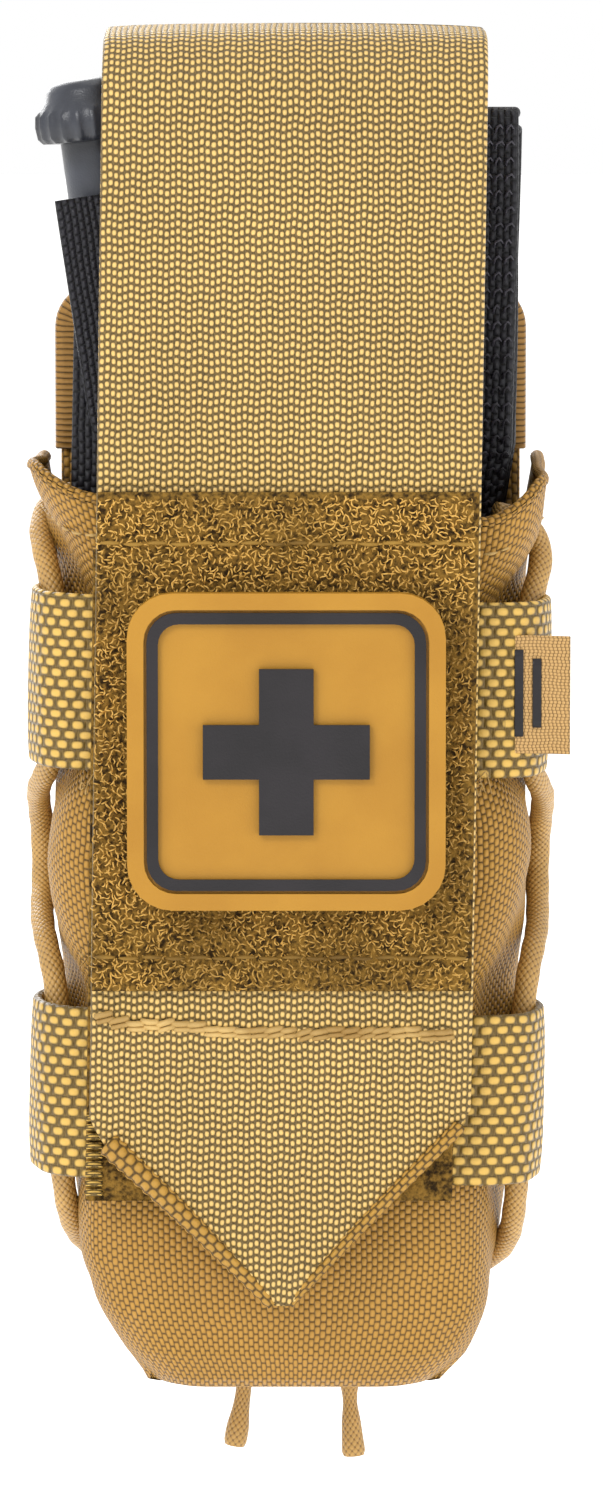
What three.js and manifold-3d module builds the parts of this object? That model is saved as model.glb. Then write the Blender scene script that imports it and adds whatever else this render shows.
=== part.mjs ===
// A belt pouch for a windlass tourniquet, with the folded tourniquet stowed in it.
// Millimetres, +Z up, +X to the wearer's view of the pouch's right, and the pouch's front faces -Y.
// Heights are drawn from the bottom of the pouch, and the exported group is lowered so that the origin
// is on the back panel's rear face, level with the middle of the belt.
import * as THREE from "three";
import { mergeVertices } from "three/addons/utils/BufferGeometryUtils.js";
import Module from "manifold-3d";

// ---------------------------------------------------------------- driving dimensions
const GAP = 0.3; // clearance left between pieces that touch
const BELT_HEIGHT = 70; // middle of the belt above the pouch's bottom

const BACK = { halfWidth: 31.5, bottom: 1, top: 143.9, corner: 7, sheet: 0.9, stiffener: 1.1 };
const BINDING = { lap: 4, thickness: 0.6 };
const REAR_LAYER = 1.2; // where anything sewn to the rear of the back panel starts
const SHELL = { wall: 1.2, front: -41, rear: -4.1, mouth: 116.5, earTop: 121 };
const WEBBING = { flap: 50.8, strap: 25.4, thickness: 1.5 };
const BAND = { halfWidth: 34.6, thickness: 1.3, corner: 12.2, sewn: 6.8, bottoms: { lower: 25, upper: 80.3 } };
const FLAP = { front: -47.3, top: 181, bend: 14.75, sewnFrom: 118, backFold: 148, frontFold: 164, end: 36 };
const TAB = { tip: 10.3, halfWidth: 24.2, thickness: 2.9 };
const PATCH = { size: 42, corner: 6, x: -0.5, bottom: 64.4 };
const CORD = { radius: 1.6, arcSteps: 4, stepsPerPoint: 3 };
const ROD = { radius: 4.75, length: 130.1, bottom: [-9.5, 45], top: [-26.7, 174], y: -31, knob: 7.5, knobHeight: 5 };

// ---------------------------------------------------------------- solids
const wasm = await Module();
wasm.setup();

function solidOf(geometry) {
  const bare = geometry.index ? geometry.toNonIndexed() : geometry.clone();
  bare.deleteAttribute("normal");
  bare.deleteAttribute("uv");
  const merged = mergeVertices(bare, 1e-4);
  return new wasm.Manifold(
    new wasm.Mesh({
      numProp: 3,
      vertProperties: merged.attributes.position.array,
      triVerts: new Uint32Array(merged.index.array),
    }),
  );
}

function geometryOf(solid) {
  const { vertProperties, triVerts } = solid.getMesh();
  const geometry = new THREE.BufferGeometry();
  geometry.setAttribute("position", new THREE.BufferAttribute(vertProperties, 3));
  geometry.setIndex(new THREE.BufferAttribute(triVerts, 1));
  geometry.computeVertexNormals();
  return geometry;
}

const joined = (first, ...more) => more.reduce((sum, g) => sum.add(solidOf(g)), solidOf(first));
const cut = (solid, ...tools) => tools.reduce((left, g) => left.subtract(solidOf(g)), solid);

// ---------------------------------------------------------------- shapes and sweeps
function box(x, y, z) {
  return new THREE.BoxGeometry(x[1] - x[0], y[1] - y[0], z[1] - z[0]).translate(
    (x[0] + x[1]) / 2,
    (y[0] + y[1]) / 2,
    (z[0] + z[1]) / 2,
  );
}

function extrude(shape, depth, basis, curveSegments = 3) {
  const geometry = new THREE.ExtrudeGeometry(shape, { depth, bevelEnabled: false, curveSegments });
  return geometry.applyMatrix4(new THREE.Matrix4().makeBasis(...basis));
}

const X = new THREE.Vector3(1, 0, 0);
const Y = new THREE.Vector3(0, 1, 0);
const Z = new THREE.Vector3(0, 0, 1);
const alongX = (shape, x) => extrude(shape, x[1] - x[0], [Y, Z, X]).translate(x[0], 0, 0);
const alongY = (shape, y) => extrude(shape, y[1] - y[0], [X, Z, Y.clone().negate()]).translate(0, y[1], 0);
const alongZ = (shape, z) => extrude(shape, z[1] - z[0], [X, Y, Z]).translate(0, 0, z[0]);

function disc(radius, y, x, z, segments = 20) {
  return new THREE.CylinderGeometry(radius, radius, y[1] - y[0], segments).translate(x, (y[0] + y[1]) / 2, z);
}

function roundedRectangle(x, z, radius) {
  const shape = new THREE.Shape();
  shape.moveTo(x[0] + radius, z[0]);
  shape.lineTo(x[1] - radius, z[0]);
  shape.absarc(x[1] - radius, z[0] + radius, radius, -Math.PI / 2, 0);
  shape.lineTo(x[1], z[1] - radius);
  shape.absarc(x[1] - radius, z[1] - radius, radius, 0, Math.PI / 2);
  shape.lineTo(x[0] + radius, z[1]);
  shape.absarc(x[0] + radius, z[1] - radius, radius, Math.PI / 2, Math.PI);
  shape.lineTo(x[0], z[0] + radius);
  shape.absarc(x[0] + radius, z[0] + radius, radius, Math.PI, 1.5 * Math.PI);
  return shape;
}

const polygon = (points) => new THREE.Shape(points.map(([u, v]) => new THREE.Vector2(u, v)));

// The outline of a strip of an even thickness whose middle follows the points.
function stripShape(points, thickness) {
  const side = (sign) =>
    points.map((p, i) => {
      const before = points[Math.max(i - 1, 0)];
      const after = points[Math.min(i + 1, points.length - 1)];
      const along = after.clone().sub(before).normalize();
      return new THREE.Vector2(p.x - along.y * sign, p.y + along.x * sign);
    });
  return new THREE.Shape([...side(-thickness / 2), ...side(thickness / 2).reverse()]);
}

// A closed solid through rings of points that all have the same count, from the lowest ring up.
function loft(rings) {
  const count = rings[0].points.length;
  const positions = rings.flatMap(({ z, points }) => points.flatMap((p) => [p.x, p.y, z]));
  const index = [];
  for (let level = 0; level < rings.length - 1; level++) {
    for (let i = 0; i < count; i++) {
      const a = level * count + i;
      const b = level * count + ((i + 1) % count);
      index.push(a, b, b + count, a, b + count, a + count);
    }
  }
  const last = (rings.length - 1) * count;
  for (const [a, b, c] of THREE.ShapeUtils.triangulateShape(rings[0].points, [])) index.push(c, b, a);
  for (const [a, b, c] of THREE.ShapeUtils.triangulateShape(rings.at(-1).points, [])) {
    index.push(last + a, last + b, last + c);
  }
  const geometry = new THREE.BufferGeometry();
  geometry.setAttribute("position", new THREE.Float32BufferAttribute(positions, 3));
  return geometry.setIndex(index);
}

function tube(points, radius) {
  const curve = new THREE.CatmullRomCurve3(points.map((p) => new THREE.Vector3(...p)));
  const section = new THREE.Shape();
  section.absarc(0, 0, radius, 0, 2 * Math.PI);
  return new THREE.ExtrudeGeometry(section, {
    extrudePath: curve,
    steps: (points.length - 1) * CORD.stepsPerPoint,
    curveSegments: CORD.arcSteps,
    bevelEnabled: false,
  });
}

// ---------------------------------------------------------------- materials
const material = (color, roughness, metalness = 0) =>
  new THREE.MeshStandardMaterial({ color, roughness, metalness });
const COYOTE_WEBBING = material(0xa98550, 0.75);
const COYOTE_CORDURA = material(0xa27c48, 0.85);
const COYOTE_LOOP = material(0x94702c, 0.95);
const COYOTE_CORD = material(0xa07f4a, 0.8);
const PATCH_TAN = material(0xb08433, 0.45);
const PATCH_BLACK = material(0x2a2523, 0.4);
const BLACK_WEBBING = material(0x1c1c20, 0.8);
const BLACK_PLASTIC = material(0x2b2d33, 0.4);
const POLYMER = material(0x3a3226, 0.6);
const SNAP_METAL = material(0x1e1c1a, 0.35, 0.8);

const pouch = new THREE.Group();
pouch.position.z = -BELT_HEIGHT;

function add(name, shape, look) {
  const geometry = shape.isBufferGeometry ? shape : geometryOf(shape);
  const mesh = new THREE.Mesh(geometry, look);
  mesh.name = name;
  pouch.add(mesh);
}

// ---------------------------------------------------------------- shock cord lacing
// Each cord starts at a knot inside the mouth, runs out through the shell's side, down through the
// tunnel under each band with a turn towards the back between them, into the shell below the lower
// band, and out through the bottom as a short tail.
const CORD_LEFT = [
  [-26.5, -10, 116.5],
  [-31.5, -13, 117],
  [-34, -20, 113],
  [-32.6, -28, 108],
  [-31.4, -31, 102],
  [-31.4, -31, 93],
  [-31.4, -31, 84],
  [-32.8, -27.5, 78.5],
  [-34.4, -19, 73],
  [-33.8, -11.5, 69.8],
  [-33.4, -8.6, 67.2],
  [-33.6, -12, 64.8],
  [-33.8, -20, 62],
  [-32.6, -28, 57],
  [-31.4, -31, 50],
  [-31.4, -31, 39],
  [-31, -31, 28],
  [-30.2, -28, 20.5],
  [-28.8, -20, 15.5],
  [-25.5, -14, 12],
  [-19, -13, 8],
  [-11, -15, 5.5],
  [-6.6, -17, 3],
  [-6, -17.5, -1],
  [-6.8, -17.5, -5],
  [-7.6, -17.5, -8.4],
];
const CORD_RIGHT = [
  [27.5, -26.5, 115],
  [31, -25.5, 114.6],
  [34.4, -23.5, 110.5],
  [33, -28, 105.5],
  [31.4, -31, 100],
  [31.4, -31, 92],
  [31.4, -31, 83.5],
  [33.2, -27, 78],
  [34.4, -20, 72.5],
  [33.8, -12, 69],
  [33.4, -8.6, 66.5],
  [33.6, -12, 64],
  [33.6, -20, 60],
  [32.4, -28, 55],
  [31.4, -31, 48],
  [31.2, -31, 38],
  [30.8, -31, 28],
  [30.4, -28, 20.5],
  [29.4, -21, 14.5],
  [26, -15, 11],
  [19, -13, 8],
  [12, -15, 5.5],
  [8.6, -17, 3],
  [8, -17.5, -1],
  [8.2, -17.5, -6],
  [8.6, -17.5, -10.2],
];
const cordRoom = [CORD_LEFT, CORD_RIGHT].map((route) => tube(route, CORD.radius + GAP));

function addCords() {
  add("shock_cord_left", tube(CORD_LEFT, CORD.radius), COYOTE_CORD);
  add("shock_cord_right", tube(CORD_RIGHT, CORD.radius), COYOTE_CORD);
}

// ---------------------------------------------------------------- back panel
function backOutline(grow) {
  const half = BACK.halfWidth + grow;
  return roundedRectangle([-half, half], [BACK.bottom - grow, BACK.top + grow], BACK.corner + grow);
}

function addBackPanel() {
  const outer = [-BACK.sheet, 0];
  const stiffener = [outer[0] - GAP - BACK.stiffener, outer[0] - GAP];
  const inner = [stiffener[0] - GAP - BACK.sheet, stiffener[0] - GAP];
  add("back_outer_sheet", alongY(backOutline(0), outer), COYOTE_CORDURA);
  add("back_stiffener", alongY(backOutline(-3), stiffener), POLYMER);
  add("back_inner_sheet", alongY(backOutline(0), inner), COYOTE_CORDURA);

  // Edge tape folded over the panel's rim: a ring with a groove that the panel sits in.
  const tape = [inner[0] - GAP - BINDING.thickness, GAP + BINDING.thickness];
  const ring = cut(
    solidOf(alongY(backOutline(GAP + BINDING.thickness), tape)),
    alongY(backOutline(GAP), [inner[0] - GAP, GAP]),
    alongY(backOutline(-BINDING.lap), [tape[0] - 1, tape[1] + 1]),
  );
  // The pouch's shell is sewn over the lower part, so the tape starts at the mouth.
  const below = box([-40, 40], [-10, 5], [-10, SHELL.earTop + 1]);
  add("back_edge_tape", cut(ring, below), COYOTE_WEBBING);
}

// ---------------------------------------------------------------- pouch shell
// Half width at the rear and at the front corners, and how far forward the front is, by height.
// The front corners are drawn in at the two bands, swell between them, and flare at the mouth.
const SHELL_LEVELS = [
  { z: 0, rear: 19.5, corner: 19, front: -31 },
  { z: 2.5, rear: 22.5, corner: 22, front: -35.5 },
  { z: 8, rear: 26, corner: 25.5, front: -39.5 },
  { z: 15, rear: 28.2, corner: 27.6, front: SHELL.front },
  { z: 25, rear: 29.5, corner: 27.6, front: SHELL.front },
  { z: 51, rear: 30.5, corner: 27.5, front: SHELL.front },
  { z: 60, rear: 32, corner: 31, front: SHELL.front },
  { z: 69, rear: 32.3, corner: 31.8, front: SHELL.front },
  { z: 77, rear: 32, corner: 31, front: SHELL.front },
  { z: 82, rear: 31.8, corner: 27.5, front: SHELL.front },
  { z: 106, rear: 31.8, corner: 27.6, front: SHELL.front },
  { z: 113, rear: 33, corner: 29.5, front: SHELL.front },
  { z: SHELL.earTop, rear: 34.4, corner: 33.5, front: SHELL.front },
];

function shellRing(level, inset, rearEdge) {
  const rear = level.rear - inset;
  const corner = level.corner - inset;
  const front = level.front + inset;
  const half = new THREE.SplineCurve(
    [
      [rear, -4],
      [rear, -14],
      [rear - 0.2, -22],
      [corner + 0.6, -29.5],
      [corner - 0.2, front + 6],
      [corner - 3, front + 1.6],
      [corner - 9, front],
    ].map(([x, y]) => new THREE.Vector2(x, y)),
  ).getPoints(9);
  const right = [new THREE.Vector2(rear, rearEdge), ...half.slice(1)];
  const left = right.map((p) => new THREE.Vector2(-p.x, p.y));
  return [...left, ...right.reverse()];
}

function addShell() {
  const outer = loft(SHELL_LEVELS.map((level) => ({ z: level.z, points: shellRing(level, 0, SHELL.rear) })));
  const levels = SHELL_LEVELS.map((level) => ({ ...level, z: level.z + (level.z === 0 ? SHELL.wall : 0) }));
  levels.push({ ...levels.at(-1), z: SHELL.earTop + 5 });
  const hollow = loft(levels.map((level) => ({ z: level.z, points: shellRing(level, SHELL.wall, 3) })));
  const mouth = alongY(
    polygon([
      [-25, SHELL.mouth],
      [25, SHELL.mouth],
      [34, SHELL.earTop + 1],
      [34, SHELL.earTop + 9],
      [-34, SHELL.earTop + 9],
      [-34, SHELL.earTop + 1],
    ]),
    [-60, -28],
  );
  add("pouch_shell", cut(solidOf(outer), hollow, mouth, ...cordRoom), COYOTE_CORDURA);

  for (const [name, side] of [["left", -1], ["right", 1]]) {
    const x = [29.3, 30.2].map((d) => d * side).sort((a, b) => a - b);
    const insert = roundedRectangle([-20, -6.5], [58, 104], 3);
    add("side_insert_" + name, alongX(insert, x), POLYMER);
  }
}

// ---------------------------------------------------------------- bands round the pouch
function bandPath() {
  const half = BAND.halfWidth - BAND.thickness / 2;
  const rear = REAR_LAYER + BAND.thickness / 2;
  const front = SHELL.front - GAP - BAND.thickness / 2;
  const path = new THREE.Path();
  path.moveTo(BAND.halfWidth - BAND.sewn, rear);
  path.lineTo(half - 3, rear);
  path.absarc(half - 3, rear - 3, 3, Math.PI / 2, 0, true);
  path.lineTo(half, front + BAND.corner);
  path.absarc(half - BAND.corner, front + BAND.corner, BAND.corner, 0, -Math.PI / 2, true);
  const right = path.getPoints(8);
  const left = right.map((p) => new THREE.Vector2(-p.x, p.y)).reverse();
  return [...right, ...left];
}

function addBands() {
  for (const [name, bottom] of Object.entries(BAND.bottoms)) {
    const z = [bottom, bottom + WEBBING.strap];
    const strip = solidOf(alongZ(stripShape(bandPath(), BAND.thickness), z));
    add("band_" + name, cut(strip, ...cordRoom), COYOTE_WEBBING);
  }
  const field = SHELL.front - BAND.thickness - 2 * GAP;
  add("front_loop_field", box([-25.2, 24.2], [field - 1.3, field], [24.3, 112]), COYOTE_LOOP);

  // Folded side label, sewn in behind the edge of the loop field and standing out over the band.
  const label = roundedRectangle([0, 12.6], [84.2, 100], 0.4);
  const tilted = alongY(label, [-0.7, 0]).rotateZ(THREE.MathUtils.degToRad(8)).translate(24.7, -43.1, 0);
  add("side_label", tilted, COYOTE_WEBBING);
}

// ---------------------------------------------------------------- flap
// The flap's webbing is sewn to the rear of the back panel, goes up over the tourniquet and down the
// front. It folds at two places, so it is three pieces here: riser, top and front.
function flapPath() {
  const rear = REAR_LAYER + WEBBING.thickness / 2;
  const front = FLAP.front + WEBBING.thickness / 2;
  const top = FLAP.top - WEBBING.thickness / 2;
  const r = FLAP.bend - WEBBING.thickness / 2;
  const path = new THREE.Path();
  path.moveTo(rear, FLAP.backFold + GAP);
  path.lineTo(rear, top - r);
  path.absarc(rear - r, top - r, r, 0, Math.PI / 2);
  path.lineTo(front + r, top);
  path.absarc(front + r, top - r, r, Math.PI / 2, Math.PI);
  path.lineTo(front, FLAP.frontFold);
  return path.getPoints(8);
}

function addFlap() {
  const half = WEBBING.flap / 2;
  const wide = [-half, half];
  const front = [FLAP.front, FLAP.front + WEBBING.thickness];
  const rear = [REAR_LAYER, REAR_LAYER + WEBBING.thickness];
  add("flap_riser", box(wide, rear, [FLAP.sewnFrom, FLAP.backFold]), COYOTE_WEBBING);
  add("flap_top", alongX(stripShape(flapPath(), WEBBING.thickness), wide), COYOTE_WEBBING);
  add("flap_front", box(wide, front, [FLAP.end, FLAP.frontFold - GAP]), COYOTE_WEBBING);

  const hook = [front[1] + GAP, front[1] + GAP + 1];
  add("flap_hook_tape", box([-24, 24], hook, [60, 110]), COYOTE_LOOP);
  const loop = [front[0] - GAP - 1.4, front[0] - GAP];
  add("flap_loop_panel", box(wide, loop, [53.1, 119.4]), COYOTE_LOOP);

  // The webbing's end, folded back on itself into a point.
  const point = polygon([
    [-TAB.halfWidth, FLAP.end - GAP],
    [-1.6, TAB.tip],
    [1, TAB.tip],
    [TAB.halfWidth, FLAP.end - GAP],
  ]);
  add("pull_tab", alongY(point, [front[0] - 1, front[0] - 1 + TAB.thickness]), COYOTE_WEBBING);
  return loop[0];
}

// ---------------------------------------------------------------- patch on the flap
function patchFrame(inset, width, y) {
  const square = (d) => {
    const low = PATCH.x - PATCH.size / 2 + d;
    const bottom = PATCH.bottom + d;
    const side = PATCH.size - 2 * d;
    return roundedRectangle([low, low + side], [bottom, bottom + side], Math.max(PATCH.corner - d * 0.8, 1));
  };
  const shape = square(inset);
  if (width) shape.holes.push(square(inset + width));
  return alongY(shape, y);
}

function addPatch(panelFront) {
  const back = panelFront - GAP;
  add("patch_hook_backing", patchFrame(1.5, 0, [back - 0.8, back]), BLACK_WEBBING);
  const face = back - 0.8 - GAP;
  const field = face - 1.5;
  const base = joined(patchFrame(0, 0, [field, face]), patchFrame(0, 2.2, [field - 1, field + 0.5]));
  add("patch_base", base, PATCH_TAN);
  add("patch_border", patchFrame(2.6, 1.5, [field - GAP - 0.5, field - GAP]), PATCH_BLACK);

  // A plain plus sign stands in for the lettering.
  const middle = PATCH.bottom + PATCH.size / 2;
  const arm = 11;
  const half = 3.6;
  const y = [field - GAP - 0.7, field - GAP];
  const plus = polygon([
    [-half, -arm],
    [half, -arm],
    [half, -half],
    [arm, -half],
    [arm, half],
    [half, half],
    [half, arm],
    [-half, arm],
    [-half, half],
    [-arm, half],
    [-arm, -half],
    [-half, -half],
  ]);
  add("patch_emblem", alongY(plus, y).translate(PATCH.x, 0, middle), PATCH_BLACK);
}

// ---------------------------------------------------------------- belt straps with snaps
const STRAP = { x: 14.5, anchorTop: 116, hinge: 105.7, snap: 28, end: 19 };

function strapPath() {
  const sewn = REAR_LAYER + WEBBING.thickness / 2;
  const bowed = 8.4;
  const snapped = 2.4 + WEBBING.thickness / 2;
  return new THREE.SplineCurve(
    [
      [sewn, STRAP.hinge - GAP],
      [sewn + 1.8, 101.5],
      [bowed - 1, 96.5],
      [bowed, 91],
      [bowed, 86],
      [bowed, 58],
      [bowed, 52],
      [bowed - 1, 45.5],
      [snapped + 1.4, 40],
      [snapped, 34],
      [snapped, STRAP.end],
    ].map(([y, z]) => new THREE.Vector2(y, z)),
  ).getPoints(20);
}

function addBeltStraps() {
  for (const [name, side] of [["left", -1], ["right", 1]]) {
    const middle = STRAP.x * side;
    const wide = [middle - WEBBING.strap / 2, middle + WEBBING.strap / 2];
    const rear = [REAR_LAYER, REAR_LAYER + WEBBING.thickness];
    add("belt_strap_anchor_" + name, box(wide, rear, [STRAP.hinge, STRAP.anchorTop]), COYOTE_WEBBING);
    const strap = solidOf(alongX(stripShape(strapPath(), WEBBING.thickness), wide));
    add("belt_strap_" + name, cut(strap, disc(2, [1, 6], middle, STRAP.snap, 16)), COYOTE_WEBBING);

    const at = (radius, y) => disc(radius, y, middle, STRAP.snap);
    add("snap_stud_" + name, joined(at(5.2, [GAP, 0.9]), at(2.5, [0.5, 1.9])), SNAP_METAL);
    add("snap_socket_" + name, cut(solidOf(at(5.5, [1.2, 2.1])), at(2.9, [1, 3])), SNAP_METAL);
    add("snap_cap_" + name, joined(at(6.3, [4.2, 5]), at(5.2, [4.5, 5.7]), at(1.7, [2.2, 4.5])), SNAP_METAL);
  }
}

// ---------------------------------------------------------------- tourniquet
// The long band is folded up and down into a stack, kept here as one block that leans in at its foot.
const STACK_LEVELS = [
  { z: 12, x: [-15, 20] },
  { z: 30, x: [-12, 24.5] },
  { z: 60, x: [-9.5, 27.5] },
  { z: 90, x: [-8.5, 28.7] },
  { z: 112, x: [-8, 28.8] },
  { z: 124, x: [-6.5, 31.3] },
  { z: 169.5, x: [-6, 31.8] },
];

function addBand() {
  const y = [-22.5, -6];
  const rings = STACK_LEVELS.map(({ z, x }) => ({
    z,
    points: [[x[0], y[0]], [x[1], y[0]], [x[1], y[1]], [x[0], y[1]]].map((p) => new THREE.Vector2(...p)),
  }));
  add("tourniquet_band", loft(rings), BLACK_WEBBING);

  // The band's plain woven end lies slanting across the front of the windlass.
  const sleeve = polygon([
    [-14, 60],
    [19, 60],
    [14, 118],
    [6, 163],
    [-32.1, 156.2],
    [-22.8, 118],
  ]);
  add("tourniquet_woven_end", alongY(sleeve, [-38.6, -37.5]), BLACK_WEBBING);
}

function addPlateAndClip() {
  add("stabiliser_plate", alongY(roundedRectangle([-13, 22], [58, 150], 5), [-24.8, -23]), BLACK_PLASTIC);

  // Two curved jaws that hold the turned windlass, on a flat base.
  const middle = { x: 9, y: -31.2 };
  const jaws = new THREE.Shape();
  jaws.moveTo(middle.x - 8.5, -25.2);
  jaws.lineTo(middle.x - 8.5, -34.5);
  jaws.lineTo(middle.x - 6, -35.8);
  jaws.lineTo(middle.x - 4.4, -34.6);
  jaws.absarc(middle.x, middle.y, 5.3, 1.25 * Math.PI, 1.75 * Math.PI, true);
  jaws.lineTo(middle.x + 4.4, -34.6);
  jaws.lineTo(middle.x + 6, -35.8);
  jaws.lineTo(middle.x + 8.5, -34.5);
  jaws.lineTo(middle.x + 8.5, -25.2);
  add("windlass_clip", alongZ(jaws, [64, 86]), BLACK_PLASTIC);

  const strap = new THREE.SplineCurve(
    [
      [19.4, -25.6],
      [19.6, -31],
      [18.8, -35.2],
      [15.4, -36.6],
      [9, -36.7],
      [-1, -36.7],
    ].map(([x, y]) => new THREE.Vector2(x, y)),
  ).getPoints(16);
  add("time_strap", alongZ(stripShape(strap, 0.9), [67, 83]), BLACK_WEBBING);
}

function rodAxis() {
  const bottom = new THREE.Vector3(ROD.bottom[0], ROD.y, ROD.bottom[1]);
  const top = new THREE.Vector3(ROD.top[0], ROD.y, ROD.top[1]);
  return { bottom, direction: top.sub(bottom).normalize() };
}

// Made upright on its own axis, then leant and moved to where it is stowed.
function addWindlass() {
  const end = (sign) => {
    const grip = new THREE.Shape();
    const ridges = 20;
    for (let i = 0; i < 2 * ridges; i++) {
      const angle = (i * Math.PI) / ridges;
      const radius = i % 2 ? ROD.knob - 0.6 : ROD.knob;
      const step = i ? "lineTo" : "moveTo";
      grip[step](radius * Math.cos(angle), radius * Math.sin(angle));
    }
    const rim = ROD.knobHeight;
    const dome = new THREE.CylinderGeometry(4.6, ROD.knob - 1, 3.2, 24).rotateX(Math.PI / 2);
    const low = sign > 0 ? ROD.length - rim - 3 : 3;
    if (sign < 0) dome.rotateX(Math.PI);
    dome.translate(0, 0, sign > 0 ? ROD.length - 1.6 : 1.6);
    return [alongZ(grip, [low, low + rim]), dome];
  };
  const shaft = new THREE.CylinderGeometry(ROD.radius, ROD.radius, ROD.length - 4, 20).rotateX(Math.PI / 2);
  shaft.translate(0, 0, ROD.length / 2);
  const slot = box([-1.7, 1.7], [-9, 9], [ROD.length / 2 - 15, ROD.length / 2 + 15]);
  const rod = geometryOf(cut(joined(shaft, ...end(1), ...end(-1)), slot));
  const { bottom, direction } = rodAxis();
  const lean = new THREE.Quaternion().setFromUnitVectors(Z, direction);
  add("windlass_rod", rod.applyQuaternion(lean).translate(...bottom.toArray()), BLACK_PLASTIC);

  // The pulling ribbon goes through the rod's slot and back beside it, and leans with the rod.
  const loop = new THREE.Path();
  loop.moveTo(0, 5.4);
  loop.lineTo(0, -5);
  loop.absarc(0.9, -5, 0.9, Math.PI, 1.5 * Math.PI);
  loop.lineTo(6.6, -5.9);
  loop.absarc(6.6, -5, 0.9, 1.5 * Math.PI, 2 * Math.PI);
  loop.lineTo(7.5, 5.4);
  const ribbon = alongZ(stripShape(loop.getPoints(4), 0.8), [-11, 11]).applyQuaternion(lean);
  const middle = bottom.addScaledVector(direction, ROD.length / 2);
  add("pulling_ribbon", ribbon.translate(...middle.toArray()), BLACK_WEBBING);
}

function addBuckle() {
  const frame = solidOf(alongY(roundedRectangle([-22, 22], [17, 40], 3), [-29, -25.4]));
  const slots = [21, 31.5].map((z) => box([-19, 19], [-31, -24], [z, z + 5]));
  add("tourniquet_buckle", cut(frame, ...slots), BLACK_PLASTIC);
}

addBackPanel();
addShell();
addCords();
addBands();
addPatch(addFlap());
addBeltStraps();
addBand();
addPlateAndClip();
addWindlass();
addBuckle();

export default pouch;
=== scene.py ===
# The looks of a belt pouch with a windlass tourniquet stowed in it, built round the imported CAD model.
# Lengths are written in millimetres, and heights from the bottom of the pouch; make() turns them into
# the frame's metres.
import math

import bpy
import numpy as np
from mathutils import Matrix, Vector


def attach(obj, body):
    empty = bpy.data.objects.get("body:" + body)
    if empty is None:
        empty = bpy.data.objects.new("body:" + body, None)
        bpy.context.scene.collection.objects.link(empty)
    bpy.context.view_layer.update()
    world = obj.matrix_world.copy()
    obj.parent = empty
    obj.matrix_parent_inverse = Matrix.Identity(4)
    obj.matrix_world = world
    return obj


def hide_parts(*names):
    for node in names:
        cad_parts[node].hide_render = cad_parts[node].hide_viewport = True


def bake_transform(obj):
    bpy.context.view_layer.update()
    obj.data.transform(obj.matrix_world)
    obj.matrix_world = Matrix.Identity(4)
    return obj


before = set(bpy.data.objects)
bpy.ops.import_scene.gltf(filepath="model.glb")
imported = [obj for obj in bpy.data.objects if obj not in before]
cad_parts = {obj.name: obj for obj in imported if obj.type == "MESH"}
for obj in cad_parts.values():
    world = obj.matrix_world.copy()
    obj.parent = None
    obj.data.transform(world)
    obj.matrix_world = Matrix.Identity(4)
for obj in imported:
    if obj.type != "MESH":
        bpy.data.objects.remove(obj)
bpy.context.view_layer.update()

rng = np.random.default_rng(7)

MM = 0.001
BELT = 70.0  # the frame's origin is this far above the pouch's bottom


def to_frame(points):
    """Points in millimetres, with heights from the pouch's bottom, as metres in the model's frame."""
    return (np.asarray(points, float) - (0, 0, BELT)) * MM


# ---- camera
TARGET = Vector((0.0015, -0.045, 0.0149))
ELEVATION = math.radians(6)
DISTANCE = 1.05
VIEW_HEIGHT = 0.199

camera = bpy.data.objects.new("camera", bpy.data.cameras.new("camera"))
bpy.context.scene.collection.objects.link(camera)
camera.data.sensor_width = 36
camera.data.lens = 36 * DISTANCE / VIEW_HEIGHT
camera.location = TARGET + DISTANCE * Vector((0, -math.cos(ELEVATION), math.sin(ELEVATION)))
camera.rotation_euler = (math.radians(90) - ELEVATION, 0, 0)
bpy.context.scene.camera = camera


# ---- shader arithmetic
class Value:
    """A shader socket that can be written as arithmetic."""

    def __init__(self, tree, socket):
        self.tree = tree
        self.socket = socket

    def math(self, operation, *others):
        node = self.tree.nodes.new("ShaderNodeMath")
        node.operation = operation
        self.tree.links.new(self.socket, node.inputs[0])
        for i, other in enumerate(others, start=1):
            if isinstance(other, Value):
                self.tree.links.new(other.socket, node.inputs[i])
            else:
                node.inputs[i].default_value = other
        return Value(self.tree, node.outputs[0])

    def __add__(self, other):
        return self.math("ADD", other)

    def __sub__(self, other):
        return self.math("SUBTRACT", other)

    def __mul__(self, other):
        return self.math("MULTIPLY", other)

    def __truediv__(self, other):
        return self.math("DIVIDE", other)

    def __neg__(self):
        return self * -1

    __radd__ = __add__
    __rmul__ = __mul__

    def from_one(self):
        return (-self) + 1

    def floor(self):
        return self.math("FLOOR")

    def frac(self):
        return self.math("FRACT")

    def abs(self):
        return self.math("ABSOLUTE")

    def wrap(self, size):
        return (self / size - (self / size).floor()) * size

    def step(self, low, high):
        node = self.tree.nodes.new("ShaderNodeMapRange")
        node.interpolation_type = "SMOOTHSTEP"
        self.tree.links.new(self.socket, node.inputs["Value"])
        node.inputs["From Min"].default_value = low
        node.inputs["From Max"].default_value = high
        return Value(self.tree, node.outputs["Result"])


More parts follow.
